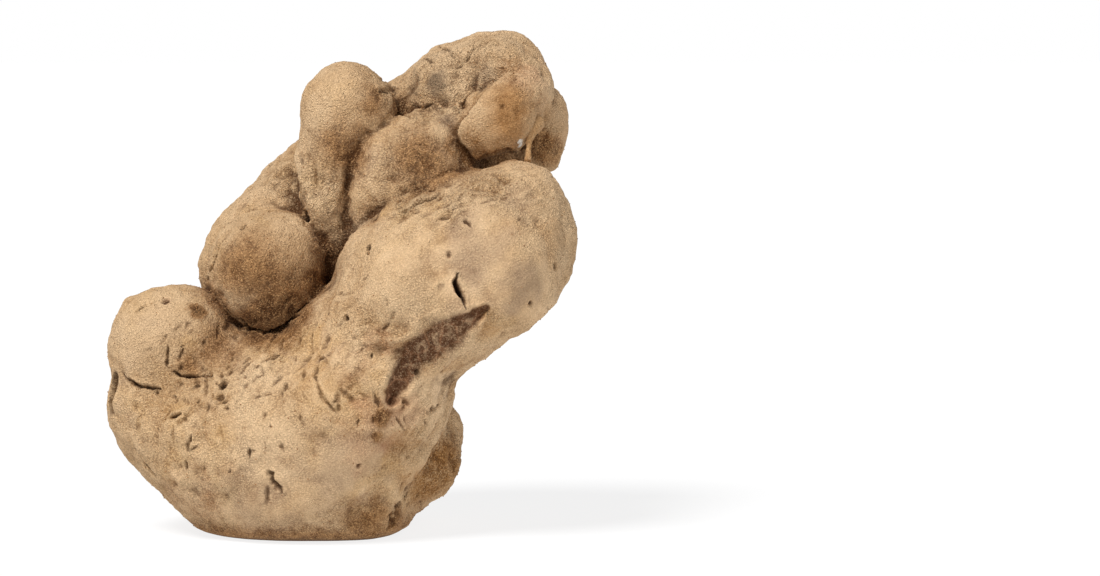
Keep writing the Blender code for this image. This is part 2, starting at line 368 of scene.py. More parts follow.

# Ledges, where one part of the skin overlaps another: the path of the edge, a place on the upper part,
# how far it rises and the lower part drops in mm, and the soil and painted shadow under it.
LEDGES = [
    # the flap, from its lower right round its tip and up
    ([(0.88, 0.766), (0.844, 0.764), (0.809, 0.754), (0.78, 0.741), (0.762, 0.751), (0.748, 0.772),
      (0.738, 0.797), (0.757, 0.819), (0.776, 0.84), (0.8, 0.863), (0.82, 0.885), (0.84, 0.907)],
     (0.83, 0.825), 0.5, 0.75, 1),
    # the arm's rough top, which ends over its smooth side
    ([(0.585, 0.632), (0.61, 0.622), (0.632, 0.632), (0.655, 0.65), (0.69, 0.664), (0.73, 0.668)],
     (0.64, 0.69), 0.15, 0.5, 0.5),
    # the upper end of the neck's brown block
    ([(0.53, 0.34), (0.54, 0.368), (0.575, 0.376), (0.61, 0.376), (0.64, 0.385)],
     (0.59, 0.42), 0.1, 0.2, 0.1),
    # the foot's sharp pale edge
    ([(0.69, 0.15), (0.655, 0.11), (0.63, 0.075), (0.612, 0.04), (0.59, 0)],
     (0.56, 0.08), 0.2, 0.6, 0.7),
]

# Soft valleys and ridges: path, half width and depth in mm (a ridge is negative), and soil and painted
# shade in it.
FOLD_LINES = [
    ([(0.392, 0.775), (0.405, 0.715), (0.428, 0.66), (0.443, 0.632)], 1, -0.55, 0),
    ([(0.42, 0.76), (0.435, 0.7), (0.455, 0.65)], 1, 0.45, 0.35),
    ([(0.783, 0.95), (0.779, 0.92), (0.779, 0.89), (0.772, 0.865)], 1, 0.35, 0.15),
    ([(0.66, 0.905), (0.64, 0.88), (0.622, 0.85)], 1.4, 0.5, 0.3),
    ([(0.7, 0.84), (0.67, 0.815), (0.64, 0.805), (0.61, 0.812)], 1.4, 0.6, 0.3),
    ([(0.724, 0.352), (0.7, 0.325), (0.676, 0.296), (0.668, 0.255)], 0.7, -0.35, 0),
    ([(0.536, 0.367), (0.575, 0.374), (0.607, 0.374), (0.66, 0.394)], 0.6, -0.25, 0),
    ([(0.64, 0.33), (0.6, 0.24), (0.64, 0.18), (0.7, 0.15)], 2, 0.35, 0.2),
    ([(0.93, 0.64), (0.945, 0.56), (0.94, 0.47)], 1.6, -0.35, 0),
    ([(0.61, 0.64), (0.66, 0.668), (0.74, 0.69), (0.82, 0.705)], 1.2, 0.35, 0.2),
    ([(0.24, 0.42), (0.3, 0.4), (0.36, 0.42), (0.41, 0.45)], 1.2, -0.35, 0),
    ([(0.03, 0.3), (0.08, 0.27), (0.15, 0.29), (0.23, 0.31)], 2.4, 0.45, 0.3),
    ([(0.58, 0.13), (0.62, 0.1), (0.64, 0.06)], 1.2, 0.4, 0.3),
]

# Soft swellings: place (across, up), radius and height, mm.
SWELLS = [
    (0.768, 0.862, 2.2, 0.7), (0.702, 0.894, 2, 0.45), (0.832, 0.905, 2.6, 0.5),
    (0.806, 0.868, 2, 0.5), (0.845, 0.955, 3, 0.4), (0.745, 0.955, 2.6, 0.4), (0.74, 0.87, 2.4, 0.4),
    (0.65, 0.945, 2.6, 0.4), (0.63, 0.76, 3.5, 0.4), (0.7, 0.72, 3, 0.4), (0.6, 0.48, 5, 0.5),
    (0.78, 0.64, 4, 0.4), (0.46, 0.23, 4, 0.5), (0.35, 0.2, 5, 0.4), (0.24, 0.13, 4, 0.4),
    (0.15, 0.2, 4, 0.3), (0.57, 0.3, 3, 0.4), (0.66, 0.2, 3, 0.4), (0.44, 0.06, 4, 0.4),
]

# Patches of the marks that the material reads: place (across, up), radius in mm, strength.
PATCHES = {
    # the weak pale patches are painted light on parts that face the lamps; the two strong ones are a real
    # pale fleck
    "pale": [
        (0.872, 0.776, 0.8, 1), (0.87, 0.768, 0.6, 1), (0.129, 0.474, 4, 0.25), (0.745, 0.925, 6, 0.2),
        (0.341, 0.158, 6, 0.25), (0.705, 0.285, 3, 0.3), (0.93, 0.56, 5, 0.2), (0.3, 0.66, 6, 0.15),
        (0.02, 0.4, 6, 0.18), (0.171, 0.098, 5, 0.2), (0.61, 0.59, 5, 0.15), (0.66, 0.92, 3.5, 0.18),
        (0.985, 0.84, 2.5, 0.25), (0.35, 0.3, 7, 0.15), (0.3, 0.2, 6, 0.12), (0.11, 0.43, 5, 0.15),
        (0.625, 0.2, 3, 0.1), (0.468, 0.632, 3.5, 0.12)],
    # dark spots on the head and the arm, and painted shade in a pocket by the knob and under the arm
    "shade_and_dark_spots": [
        (0.698, 0.892, 2.1, 0.62), (0.802, 0.907, 1.8, 0.16), (0.717, 0.812, 1.7, 0.3),
        (0.19, 0.437, 1.2, 0.35), (0.879, 0.49, 3.4, 0.26), (0.61, 0.04, 1, 0.5)],
    "lilac": [
        (0.77, 0.56, 6.5, 0.8), (0.879, 0.49, 4.5, 1), (0.341, 0.058, 7, 0.7), (0.48, 0.1, 6, 0.7),
        (0.532, 0.138, 5.5, 0.7), (0.698, 0.892, 2.2, 1.3), (0.802, 0.907, 2, 0.8),
        (0.717, 0.812, 1.8, 0.8), (0.11, 0.4, 6, 0.5), (0.3, 0.155, 3, 0.4), (0.74, 0.44, 2.2, 0.7),
        (0.86, 0.66, 3.5, 0.5)],
    "ochre": [
        (0.685, 0.105, 7, 1.25), (0.71, 0.14, 4.5, 1.1), (0.78, 0.77, 4, 0.6), (0.845, 0.83, 7.5, 0.75),
        (0.804, 0.398, 2.4, 0.8), (0.623, 0.181, 3.5, 0.7), (0.517, 0.207, 2.5, 0.6),
        (0.94, 0.582, 4, 0.6), (0.796, 0.43, 1.4, 0.9), (0.802, 0.775, 3, 0.9), (0.87, 0.79, 4, 0.8),
        (0.883, 0.85, 5, 0.5), (0.515, 0.838, 3.5, 0.4), (0.95, 0.72, 3, 0.4), (0.7, 0.35, 2.5, 0.4),
        (0.56, 0.02, 4, 0.5), (0.95, 0.8, 5, 0.45)],
    "worn": [
        (0.469, 0.318, 8, 0.55), (0.341, 0.158, 9, 0.55), (0.512, 0.25, 5, 0.5), (0.7, 0.3, 4, 0.8),
        (0.8, 0.54, 9, 1), (0.64, 0.54, 6, 0.6), (0.9, 0.48, 6, 0.9), (0.35, 0.06, 9, 0.8),
        (0.52, 0.11, 8, 0.9), (0.85, 0.83, 5.5, 0.8), (0.64, 0.25, 6, 0.8), (0.11, 0.4, 6, 0.4),
        (0.62, 0.06, 7, 0.5), (0.96, 0.8, 5, 0.5)],
    "reddish": [
        (0.88, 0.9, 3.5, 0.8), (0.16, 0.06, 6, 0.4), (0.121, 0.459, 1, 1), (0.57, 0.375, 3, 0.5),
        (0.595, 0.22, 5, 0.8), (0.54, 0.17, 4, 0.6), (0.93, 0.86, 3, 0.5), (0.96, 0.82, 4, 0.45)],
    # soil, and painted shade where the lobes hide each other and under the arm, the flap and the knob
    "soil_and_shade": [
        (0.325, 0.51, 12, 1.1), (0.35, 0.43, 9.5, 1.85), (0.425, 0.49, 4.5, 1.4), (0.28, 0.56, 8, 0.6),
        (0.335, 0.585, 5, 0.5), (0.24, 0.49, 5, 0.45), (0.5, 0.752, 7.5, 1.15), (0.56, 0.84, 3.5, 0.75),
        (0.44, 0.7, 3.5, 0.3), (0.65, 0.73, 9, 1.1), (0.787, 0.935, 3.5, 0.45), (0.655, 0.48, 3.5, 0.4),
        (0.56, 0.44, 3, 0.25), (0.62, 0.42, 2.5, 0.3), (0.38, 0.14, 3, 0.6), (0.25, 0.12, 3.5, 0.6),
        (0.44, 0.19, 4, 0.5), (0.36, 0.26, 3.5, 0.45), (0.265, 0.35, 5.5, 0.85), (0.3, 0.07, 3.5, 0.5),
        (0.7, 0.7, 6, 1.1), (0.688, 0.845, 5, 0.5), (0.56, 0.86, 4.5, 1), (0.72, 0.77, 3, 1),
        (0.935, 0.745, 4, 1), (0.73, 0.12, 7, 0.7), (0.6, 0.01, 6, 0.55), (0.82, 0.8, 5.5, 0.35),
        (0.395, 0.64, 4, 0.45), (0.5, 0.6, 4, 0.6), (0.19, 0.38, 5, 0.35), (0.582, 0.222, 2.2, 1.9),
        (0.567, 0.188, 1.6, 1.5), (0.515, 0.3, 4, 0.75), (0.7, 0.14, 3, 1.3), (0.19, 0.437, 2, 1.9),
        (0.39, 0.125, 1.2, 0.6), (0.237, -0.004, 3, 1.3), (0.61, 0.03, 2.2, 0.8), (0.94, 0.76, 2.5, 0.9),
        (0.69, 0.09, 6, 0.85), (0.617, 0.012, 4.2, 1.5), (0.918, 0.768, 4, 1.5),
        (0.715, 0.15, 5.5, 1.15), (0.545, 0.025, 6, 1.15), (0.68, 0.11, 4, 0.6), (0.52, 0, 5, 0.6),
        (0.4, -0.01, 4.5, 0.45), (0.85, 0.828, 7, 1.15), (0.78, 0.775, 3, 0.6),
        (0.225, 0.365, 5.5, 1.15), (0.171, 0.322, 4, 0.95), (0.564, 0.218, 3, 0.45),
        (0.626, 0.25, 2.5, 0.6), (0.575, 0.84, 3, 0.65), (0.52, 0.785, 4, 0.9), (0.44, 0.72, 3, 0.4)],
}

# Where the skin is rugged, and where it is smooth: place (across, up) and radius, mm.
RUGGED_SPOTS = [
    (0.592, 0.874, 5), (0.7, 0.85, 6), (0.76, 0.92, 6), (0.69, 0.93, 5), (0.8, 0.69, 5),
    (0.64, 0.65, 3.5), (0.74, 0.65, 4), (0.44, 0.69, 6), (0.38, 0.7, 5), (0.64, 0.725, 7),
    (0.71, 0.14, 6), (0.79, 0.945, 6), (0.69, 0.86, 6), (0.93, 0.77, 4),
]

SMOOTH_SPOTS = [
    (0.335, 0.52, 10), (0.5, 0.85, 8), (0.47, 0.765, 5), (0.115, 0.39, 9), (0.83, 0.825, 6.5),
    (0.92, 0.52, 8), (0.62, 0.52, 10), (0.95, 0.8, 5), (0.26, 0.64, 4), (0.45, 0.48, 7),
]

# Wrinkles drawn out along a direction: the direction, place and radius in mm.
STREAKS = [
    ((0.15, 0, 1), (0.45, 0.68), 7),
    ((0.5, 0.2, 0.8), (0.44, 0.37), 9),
    ((0.6, 0.2, 0.8), (0.33, 0.32), 8),
    ((0.5, 0.1, 0.8), (0.69, 0.21), 8),
    ((0.6, 0.3, 0.7), (0.72, 0.13), 7),
    ((0.9, 0.3, 0.35), (0.7, 0.65), 8),
    ((0.3, 0.1, 0.9), (0.27, 0.65), 6),
    ((0.8, 0.2, 0.5), (0.85, 0.69), 7),
]

# Fields of small slits: the middle and spread of the field, how many, and their lean in degrees.
DASH_FIELDS = [
    ((0.29, 0.34), (0.08, 0.045), 52, 45),
    ((0.42, 0.38), (0.07, 0.06), 24, 50),
    ((0.18, 0.24), (0.06, 0.05), 22, 60),
    ((0.33, 0.18), (0.1, 0.06), 14, 110),
    ((0.56, 0.26), (0.06, 0.05), 16, 105),
    ((0.56, 0.5), (0.06, 0.06), 10, 60),
    ((0.7, 0.65), (0.08, 0.02), 14, 20),
    ((0.64, 0.215), (0.03, 0.04), 6, 100),
    ((0.65, 0.07), (0.04, 0.03), 10, 60),
    ((0.15, 0.37), (0.05, 0.03), 6, 40),
]

SEED = 20


def on_skin(skin, place):
    """The skin's nearest point to a place, both in mm."""
    return np.array(skin.tree.find_nearest(Vector(place * MM))[0]) / MM


def path_on(skin, path, step=0.4):
    """The path's places on the skin, in mm, no more than a step apart."""
    corners = [seen_at(skin.tree, across, up) for across, up in path]
    line = [corners[0]]
    for start, end in zip(corners, corners[1:]):
        parts = max(2, int(np.linalg.norm(end - start) / step))
        for i in range(1, parts + 1):
            line.append(on_skin(skin, start + (end - start) * i / parts))
    return np.array(line)


def near_line(points, line, reach):
    """Which points lie within reach of a line, how far off, and how far along it, 0 to 1."""
    inside = np.all((points > line.min(axis=0) - reach) & (points < line.max(axis=0) + reach), axis=1)
    where = np.nonzero(inside)[0]
    best = np.full(len(where), np.inf)
    along = np.zeros(len(where))
    pieces = max(len(line) - 1, 1)
    for i, (start, end) in enumerate(zip(line, line[1:] if len(line) > 1 else line)):
        run = end - start
        length = max(run @ run, 1e-9)
        share = np.clip((points[where] - start) @ run / length, 0, 1)
        gap = np.linalg.norm(points[where] - start - share[:, None] * run, axis=1)
        closer = gap < best
        best[closer] = gap[closer]
        along[closer] = (i + share[closer]) / pieces
    keep = best < reach
    return where[keep], best[keep], along[keep]


def swelling(along, tip=0.02):
    """How full a line is along its length: 1 in its middle and nearly 0 at its tips."""
    return np.sin(pi * np.clip(along, tip, 1 - tip))


GROOVE_REACH = 3.0  # in half widths
GROOVE_TIP = 0.25  # the least width of a groove, as a share of its greatest
GROOVE_RIM = 0.12  # height of its rim, as a share of its depth
GROOVE_ROUND = 1.3  # how round its floor is
GROOVE_SHADE = (0.10, 0.62)  # how dark the painted shade on its floor is at least, and how much more for each mm of depth


def groove(skin, line, half_width, depth, taper=0.5, broken=0.5, ragged=1.0):
    """Sink a groove along the line, with a faint rim, and paint shade on its floor.

    taper is how early it narrows towards its ends, broken how much of its depth comes and goes along
    it, and ragged how uneven its edges are.
    """
    where, gap, along = near_line(skin.points, line, half_width * GROOVE_REACH)
    if not len(where):
        return
    points = skin.points[where]
    wobble = 0.7 * waves(points, 1.1, shift=half_width * 40) + 0.5 * waves(points, 0.5, shift=3.0)
    wobble *= half_width * ragged
    narrow = swelling(along) ** taper
    share = np.maximum(gap + wobble, 0) / (half_width * np.maximum(narrow, GROOVE_TIP))
    floor = np.clip(1 - share**2, 0, 1) ** GROOVE_ROUND
    fade = 1 - broken * smooth_step(waves(points, 1.3, shift=half_width * 17), -0.1, 0.45)
    skin.sink[where] += depth * fade * (narrow * floor - GROOVE_RIM * bell(share, 1.35, 0.5))
    # painted shade on the floor, darker where the groove is deeper
    shade, deeper_shade = GROOVE_SHADE
    darkness = min(1.0, shade + depth * deeper_shade)
    skin.mark("shade_and_dark_spots", where, fade * smooth_step(floor, 0.0, 0.8) * darkness)


def fold_line(skin, line, half_width, depth, soil_and_shade=0.0):
    """A soft valley along the line, or a soft ridge if the depth is negative, with as much soil and
    painted shade along it as given.
    """
    where, gap, along = near_line(skin.points, line, half_width * 2.5)
    if not len(where):
        return
    shape = bell(gap, 0, half_width) * np.sqrt(swelling(along))
    skin.sink[where] += depth * shape
    skin.mark("soil_and_shade", where, soil_and_shade * shape)


def dot(skin, middle, half_width, depth):
    """A round pit: a groove whose line is hardly longer than a point."""
    line = np.array([middle, middle + 1e-4])
    groove(skin, line, half_width, depth, taper=0.0, broken=0.0)


def patch(skin, name, middle, radius, strength):
    """A patch of one of the marks. Soil and painted shade thin out from the middle; other patches have a
    full core.
    """
    where = within(skin, middle, radius * 1.6)
    ragged = 0.35 if name == "soil_and_shade" or radius < 3 else 0.8
    core = -0.15 if name == "soil_and_shade" else 0.35
    skin.mark(name, where, strength * near_spot(skin.points[where], middle, radius, ragged, core))


def swell(skin, middle, radius, height):
    where = within(skin, middle, radius * 1.2)
    skin.sink[where] -= height * near_spot(skin.points[where], middle, radius, ragged=0.25)


def carve_scar(skin):
    """The torn scar: a shallow trough of veined flesh with a raised edge."""
    line = path_on(skin, [spot for spot, _ in SCAR], step=0.8)
    stations = np.linspace(0, 1, len(SCAR))
    where, gap, along = near_line(skin.points, line, SCAR_REACH)
    points = skin.points[where]
    half = np.interp(along, stations, [half for _, half in SCAR])
    for width, size, shift in SCAR_WOBBLES:
        gap = gap + size * waves(points, width, shift)
    share = gap / half
    inside = 1 - smooth_step(share, 0.60, 1.08)
    veins = creases(points, 1.8, shift=9.0, sharpness=2.6)
    skin.sink[where] += SCAR_DEPTH * inside - SCAR_VEINS * inside * np.clip(veins, 0, 1)
    skin.sink[where] -= SCAR_LIP * bell(share, 1.3, 0.28)
    skin.mark("scar", where, inside)


def carve_wound(skin):
    """The wound on the far left, cut in from the side, with painted shade on the rim inside it."""
    middle = seen_at(skin.tree, *WOUND)
    where = within(skin, middle, WOUND_REACH)
    offset = skin.points[where] - middle
    half_across, half_up = WOUND_HALF
    share = np.sqrt((offset[:, 1] / half_across) ** 2 + (offset[:, 2] / half_up) ** 2)
    facing = skin.normals[where, 0] < 0.2
    inside = (1 - smooth_step(share, 0.75, 1.05)) * facing
    skin.sink[where] += WOUND_DEPTH * inside
    skin.sink[where] -= WOUND_LIP * bell(share, 1.2, 0.2) * facing
    skin.mark("ochre", where, inside)
    # painted shade on the rim inside the wound
    skin.mark("shade_and_dark_spots", where, WOUND_SHADE * bell(share, 0.95, 0.14) * facing)


LEDGE_REACH = 5.0  # mm to either side of the edge
LEDGE_STEP = 0.25  # half the width of the step at the edge, mm
LEDGE_WOBBLE = 0.35  # how far the edge wavers, mm
RISE_FADE = 2.2  # how fast the rise, the drop, the soil and painted shade and the painted shadow line fade out, mm
DROP_FADE = 1.4
SOIL_AND_SHADE_FADE = 1.6
SHADE_FADE = 0.35


def ledge(skin, path, upper, rise, drop, soil_and_shade):
    """Lift the skin on one side of the path and let it fall away on the other, with painted shadow below
    the edge.
    """
    line = path_on(skin, path)
    where, gap, along = near_line(skin.points, line, LEDGE_REACH)
    middle = seen_at(skin.tree, *upper)
    nearest = line[np.clip(np.round(along * (len(line) - 1)).astype(int), 0, len(line) - 1)]
    inward = ((skin.points[where] - nearest) * (middle - nearest)).sum(axis=1) > 0
    side = np.where(inward, gap, -gap) + LEDGE_WOBBLE * waves(skin.points[where], 1.6, shift=30.0)
    above = smooth_step(side, -LEDGE_STEP, LEDGE_STEP)
    inside, outside = np.maximum(side, 0), np.maximum(-side, 0)
    fade = swelling(along, tip=0.03) ** 0.5
    skin.sink[where] -= fade * above * rise * np.exp(-inside / RISE_FADE)
    skin.sink[where] += fade * (1 - above) * drop * np.exp(-outside / DROP_FADE)
    # painted shadow under the upper part: soil colour below the edge and a dark line right at it
    skin.mark("soil_and_shade", where, soil_and_shade * fade * (1 - above) * np.exp(-outside / SOIL_AND_SHADE_FADE))
    skin.mark("shade_and_dark_spots", where, 0.5 * soil_and_shade * fade * (1 - above) * np.exp(-outside / SHADE_FADE))


SMALL_MARKS = 150
LONG_CRACKS = 12
SLIT_SHARE = 0.6  # of the small marks; the others are pits
FRONT_DEPTH = 6.0  # mm: what lies further back isn't the front
LOWEST_MARK = 2.5  # height, mm


def random_marks(skin):
    """Seeded slits, pits and cracks, few of them where the front has marks of its own."""
    draw = np.random.default_rng(SEED)
    front = np.clip(0.3 - skin.normals[:, 1], 0, 1) * (skin.points[:, 1] < FRONT_DEPTH)
    weights = (1 - smooth_step(front, 0.1, 0.5)) * (skin.points[:, 2] > LOWEST_MARK)
    weights /= weights.sum()
    picks = draw.choice(len(skin.points), SMALL_MARKS + LONG_CRACKS, p=weights, replace=False)
    for i, pick in enumerate(picks):
        middle, normal = skin.points[pick], skin.normals[pick]
        heading = np.cross(normal, draw.normal(size=3))
        heading /= np.linalg.norm(heading)
        if i < LONG_CRACKS:
            wander(skin, draw, middle, heading)
        elif draw.random() < SLIT_SHARE:
            half = heading * draw.uniform(0.6, 2.0)
            line = np.array([on_skin(skin, place) for place in (middle - half, middle, middle + half)])
            groove(skin, line, draw.uniform(0.26, 0.48), draw.uniform(0.3, 0.7))
        else:
            dot(skin, middle, draw.uniform(0.35, 0.75), draw.uniform(0.35, 0.9))


DASH_LEAN = 22  # how far the slits of a field differ in their lean, degrees
DASH_HALF = (0.25, 1.2)  # the least half length of a slit, and how much more at most, mm
DASH_WIDTH = (0.20, 0.44)
DASH_DEPTH = (0.12, 0.44)
LOWEST_DASH = 0.03


def front_dashes(skin):
    """Seeded small slits in the fields where the front is full of them."""
    draw = np.random.default_rng(SEED + 2)
    shortest, longer = DASH_HALF
    for middle, spread, count, lean in DASH_FIELDS:
        for _ in range(count):
            across, up = np.array(middle) + np.array(spread) * draw.normal(size=2)
            angle = radians(lean + DASH_LEAN * draw.normal())
            half = (shortest + longer * draw.random() ** 1.6) * MM
            step = np.array([cos(angle) * half / SEEN_WIDTH, sin(angle) * half / SEEN_HEIGHT])
            line = [(across - step[0], up - step[1]), (across, up), (across + step[0], up + step[1])]
            width, depth = draw.uniform(*DASH_WIDTH), draw.uniform(*DASH_DEPTH)
            if up > LOWEST_DASH:
                groove(skin, path_on(skin, line), width, depth, broken=0.3)


CRACK_STEP = 0.9  # mm
CRACK_STEPS = (8, 18)
CRACK_TURN = 0.28  # how much its heading changes from step to step


def wander(skin, draw, start, heading):
    """A crack that creeps over the skin."""
    line = [start]
    for _ in range(int(draw.integers(*CRACK_STEPS))):
        heading = heading + draw.normal(size=3) * CRACK_TURN
        heading /= np.linalg.norm(heading)
        line.append(on_skin(skin, line[-1] + heading * CRACK_STEP))
    groove(skin, np.array(line), draw.uniform(0.28, 0.42), draw.uniform(0.5, 0.9))


# Waves all over the skin: width and height in mm, shift, and the share of them that a calm part loses.
SKIN_WAVES = [(9.0, 0.40, 1.0, 0.0), (4.2, 0.26, 2.0, 0.5), (2.0, 0.20, 4.0, 1.0), (1.05, 0.13, 6.0, 1.0),
              (0.6, 0.07, 8.0, 1.0)]
CALMING = 0.78  # how calm the skin is where it is wholly worn or smooth
RUGGED_CREASE = 0.26  # mm
RUGGED_LUMP = 0.16  # mm
STREAK_HEIGHT = 0.20  # mm
STREAK_STRETCH = 5.0  # how much longer than wide the streaks are
DENT_START = 0.28  # how high a wave has to be to leave a dent
DENT_DEPTH = 0.6  # mm for each unit of wave above that


def relief(skin):
    """Swells, dents, wrinkles and grain, rougher in the sheltered parts and calm where worn."""
    points = skin.points
    rugged = smooth_step(skin.marks["soil_and_shade"], 0.3, 0.8) * 0.5
    for across, up, radius in RUGGED_SPOTS:
        rugged = np.maximum(rugged, near_spot(points, seen_at(skin.tree, across, up), radius))
    skin.marks["rugged"][:] = rugged
    smooth = skin.marks["worn"].copy()
    for across, up, radius in SMOOTH_SPOTS:
        smooth = np.maximum(smooth, near_spot(points, seen_at(skin.tree, across, up), radius, 0.2))
    calm = 1 - CALMING * smooth * (1 - rugged)
    for width, height, shift, lost in SKIN_WAVES:
        skin.sink -= height * waves(points, width, shift) * (1 - lost + lost * calm)
    skin.sink -= rugged * (RUGGED_CREASE * creases(points, 2.4, shift=12.0)
                           + RUGGED_LUMP * waves(points, 0.9, shift=16.0))
    for direction, spot, radius in STREAKS:
        share = near_spot(points, seen_at(skin.tree, *spot), radius, 0.3)
        where = np.nonzero(share > 0.01)[0]
        drawn = drawn_out(points[where], direction, STREAK_STRETCH)
        skin.sink[where] -= share[where] * STREAK_HEIGHT * creases(drawn, 1.5, shift=21.0)
    dents = np.clip(waves(points, 1.7, shift=14.0) - DENT_START, 0, 1)
    skin.sink += DENT_DEPTH * dents * calm


# How much soil and painted shade there is in sheltered parts and low down, and how dark the painted
# contact shadow along the flat spot's edge is. Each comes or goes between these shares of shelter, or
# heights in mm.
SHELTER_SOIL_AND_SHADE = (0.8, 0.10, 0.55)
LOW_SOIL_AND_SHADE = (1.20, 0.2, 4.5)
EDGE_SHADE = (0.8, 0.1, 0.9)
CAVITY_ROUNDS = 14
VALLEY_ROUNDS = 150


def rising(values, strength, start, end):
    return strength * smooth_step(values, start, end)


def falling(values, strength, start, end):
    return strength * (1 - smooth_step(values, start, end))


def make_skin():
    """The whole skin: soil, painted shade and patches first, then the relief, and the single marks over
    it.
    """
    skin = Skin(dense_start())
    coarse = merged_copy(NODE)
    sheltered = spread_from(coarse, shelter(coarse), skin.points)
    heights = skin.points[:, 2]
    # painted shade: more soil colour where a point is sheltered and near the floor, and a dark painted
    # contact shadow along the flat spot's edge
    skin.marks["soil_and_shade"][:] = np.maximum(rising(sheltered, *SHELTER_SOIL_AND_SHADE), falling(heights, *LOW_SOIL_AND_SHADE))
    skin.marks["shade_and_dark_spots"][:] = falling(heights, *EDGE_SHADE)
    for name, spots in PATCHES.items():
        for across, up, radius, strength in spots:
            patch(skin, name, seen_at(skin.tree, across, up), radius, strength)
    relief(skin)
    for path, half_width, depth, soil_and_shade in FOLD_LINES:
        fold_line(skin, path_on(skin, path, step=0.8), half_width, depth, soil_and_shade)
    for across, up, radius, height in SWELLS:
        swell(skin, seen_at(skin.tree, across, up), radius, height)
    carve_scar(skin)
    carve_wound(skin)
    for path, upper, rise, drop, soil_and_shade in LEDGES:
        ledge(skin, path, upper, rise, drop, soil_and_shade)
    for path, half_width, depth in CRACKS:
        groove(skin, path_on(skin, path), half_width, depth)
    for across, up, half_width, depth in PITS:
        dot(skin, seen_at(skin.tree, across, up), half_width, depth)
    groove(skin, path_on(skin, SLIT_PATH), SLIT_WIDTH, SLIT_DEPTH, taper=SLIT_TAPER, broken=0.0,
           ragged=SLIT_RAGGED)
    front_dashes(skin)
    random_marks(skin)
    skin.finish()

    holder = linked("holder", skin.mesh)
    thin = holder.modifiers.new("thin", "DECIMATE")
    thin.ratio = SKIN_TRIANGLES / (2 * len(skin.mesh.polygons))
    mesh = evaluated_mesh(holder)
    store(mesh, "cavity", cavity(mesh, CAVITY_ROUNDS))
    store(mesh, "valley", cavity(mesh, VALLEY_ROUNDS))
    mesh.shade_smooth()
    mesh.name = "truffle_skin"
    return linked("truffle_skin", mesh)


LEVELLING = 0.6  # how far each round moves a vertex towards its neighbours


def cavity(mesh, rounds):
    """How far each vertex lies below its surroundings, in mm; ridges are negative."""
    edges = np.empty(len(mesh.edges) * 2, np.int64)
    mesh.edges.foreach_get("vertices", edges)
    a, b = edges.reshape(-1, 2).T
    count = len(mesh.vertices)
    links = np.bincount(a, minlength=count) + np.bincount(b, minlength=count)
    points = vertex_values(mesh, "co") / MM
    level = points.copy()
    for _ in range(rounds):
        for axis in range(3):
            total = np.bincount(a, level[b, axis], count) + np.bincount(b, level[a, axis], count)
            level[:, axis] = (1 - LEVELLING) * level[:, axis] + LEVELLING * total / links
    return ((level - points) * vertex_values(mesh, "normal")).sum(axis=1)


# -------------------- the strand

# The thin strand from the flap down to the arm: (across, up), how far it is sunk, and its radius, mm.
STRAND = [((0.906, 0.822), 2.2, 2.0), ((0.899, 0.802), 0.8, 1.20), ((0.892, 0.784), 0.1, 0.68),
          ((0.889, 0.768), None, 0.42), ((0.888, 0.752), None, 0.38), ((0.888, 0.741), None, 0.46),
          ((0.889, 0.732), 0.6, 0.70)]
STRAND_SIDES = 12
STRAND_LUMPS = (0.9, 0.10)  # width and height, mm
STRAND_MARKS = {"ochre": 0.8, "worn": 0.6}


def strand_stations(tree):
    """The strand's places in mm; where nothing lies behind it, they are set between the others."""
    away = -np.array(TOWARDS)
    places = [None if sunk is None else seen_at(tree, *spot) + away * sunk for spot, sunk, _ in STRAND]
    known = [i for i, place in enumerate(places) if place is not None]
    fixed = np.array([places[i] for i in known])
    return np.stack([np.interp(range(len(places)), known, column) for column in fixed.T], axis=1)


def make_strand(tree):
    stations = strand_stations(tree)
    radii = [radius for _, _, radius in STRAND]
    bm = bmesh.new()
    rings = []
    for i, (place, radius) in enumerate(zip(stations, radii)):
        run = Vector(stations[min(i + 1, len(stations) - 1)] - stations[max(i - 1, 0)])
        turn = run.to_track_quat("Z", "Y")
        angles = [2 * pi * k / STRAND_SIDES for k in range(STRAND_SIDES)]
        offsets = [turn @ Vector((cos(a), sin(a), 0)) * radius for a in angles]
        rings.append([bm.verts.new((Vector(place) + offset) * MM) for offset in offsets])
    for low, high in zip(rings, rings[1:]):
        for k in range(STRAND_SIDES):
            after = (k + 1) % STRAND_SIDES
            bm.faces.new((low[k], low[after], high[after], high[k]))
    bm.faces.new(rings[0][::-1])
    bm.faces.new(rings[-1])
    bmesh.ops.recalc_face_normals(bm, faces=bm.faces)
    mesh = bpy.data.meshes.new("strand")
    bm.to_mesh(mesh)
    bm.free()
    holder = linked("holder", mesh)
    round_off(holder)
    mesh = evaluated_mesh(holder)
    points = vertex_values(mesh, "co") / MM
    normals = vertex_values(mesh, "normal")
    lump_width, lump_height = STRAND_LUMPS
    moved = points + normals * (lump_height * waves(points, lump_width, shift=40.0))[:, None]
    mesh.vertices.foreach_set("co", (moved * MM).ravel())
    for name, strength in STRAND_MARKS.items():
        store(mesh, name, np.full(len(points), strength))
    mesh.shade_smooth()
    return linked("strand", mesh)


# -------------------- soil grains

GRAINS = 9000
GRAIN_RADIUS = (0.04, 0.11)  # mm
GRAIN_CORNERS = 12  # of an icosahedron
GRAIN_STRETCH = (0.6, 1.3)  # of each grain along each axis
GRAIN_UNEVEN = (0.8, 1.15)  # of each corner
GRAIN_PROUD = 0.25  # how far its middle stands out of the skin, in radii
GRAIN_LOWEST = (0.8, 0.02)  # heights, mm, of the lowest skin with grains and of their lowest corner


